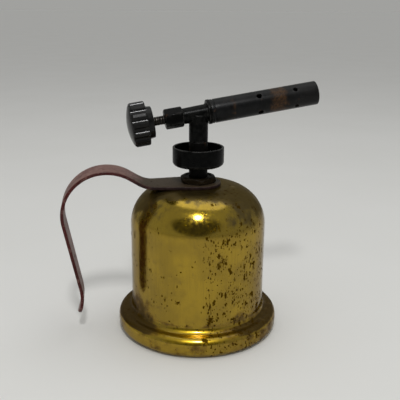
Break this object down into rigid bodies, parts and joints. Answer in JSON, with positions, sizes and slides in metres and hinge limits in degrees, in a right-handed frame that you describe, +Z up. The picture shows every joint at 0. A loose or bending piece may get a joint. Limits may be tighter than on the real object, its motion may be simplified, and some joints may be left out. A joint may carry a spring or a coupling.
{
  "type": "alcohol blowtorch",
  "caption": "Small self-blowing alcohol blowtorch: brass tank on a flared foot, red strap handle, priming cup, needle valve with fluted knob and inclined burner tube.",
  "frame": {"origin": "middle of the foot, on the surface that the torch stands on", "axes": "+Z up along the tank, +X the way the burner tube points, the handle is on -X"},
  "size_m": [0.144, 0.092, 0.1409],
  "materials": {
    "tank_brass": "old lacquered brass with brown specks and tarnish",
    "plain_brass": "plain turned or pressed brass",
    "burner_black": "heat-blackened satin metal with rusty brown patches",
    "handle_paint": "worn dark red paint",
    "stem_steel": "darkened steel",
    "knob_plastic": "glossy black moulded plastic",
    "gasket_leather": "oiled leather",
    "packing_cord": "twisted fibre cord"
  },
  "bodies": {
    "torch": {"tank_shell": "tank_brass", "tank_bottom": "plain_brass", "filler_bush": "plain_brass", "tank_spud": "plain_brass", "handle": "handle_paint", "handle_nut": "burner_black", "standpipe": "burner_black", "priming_cup": "burner_black", "wick_tube": "plain_brass", "wick": "packing_cord", "burner_head": "burner_black", "jet": "plain_brass", "burner_tube": "burner_black", "packing_nut": "burner_black", "packing_washer": "plain_brass", "packing_rings": "packing_cord"},
    "needle": {"valve_needle": "stem_steel"},
    "spindle": {"valve_stem": "stem_steel", "knob": "knob_plastic", "knob_insert": "plain_brass"},
    "gasket": {"filler_gasket": "gasket_leather"},
    "plug": {"filler_plug": "plain_brass"}
  },
  "joints": [
    {"name": "valve_lift", "type": "slide", "parent": "torch", "child": "needle", "axis": [-0.9882, 0, -0.153], "range_m": [0, 0.0016]},
    {"name": "valve_turn", "type": "hinge", "parent": "needle", "child": "spindle", "pos_m": [-0.025, 0, 0.12033], "axis": [-0.9882, 0, -0.153], "range_deg": [0, 720]},
    {"name": "filler_lift", "type": "slide", "parent": "torch", "child": "gasket", "axis": [0, 0, -1], "range_m": [0, 0.006]},
    {"name": "filler_turn", "type": "hinge", "parent": "gasket", "child": "plug", "pos_m": [0, 0, 0.0067], "axis": [0, 0, -1], "range_deg": [0, 1440]}
  ],
  "couplings": [
    {"joint": "valve_turn", "follows": "valve_lift", "rad_per_m": 7854},
    {"joint": "filler_turn", "follows": "filler_lift", "rad_per_m": 4188.8}
  ]
}
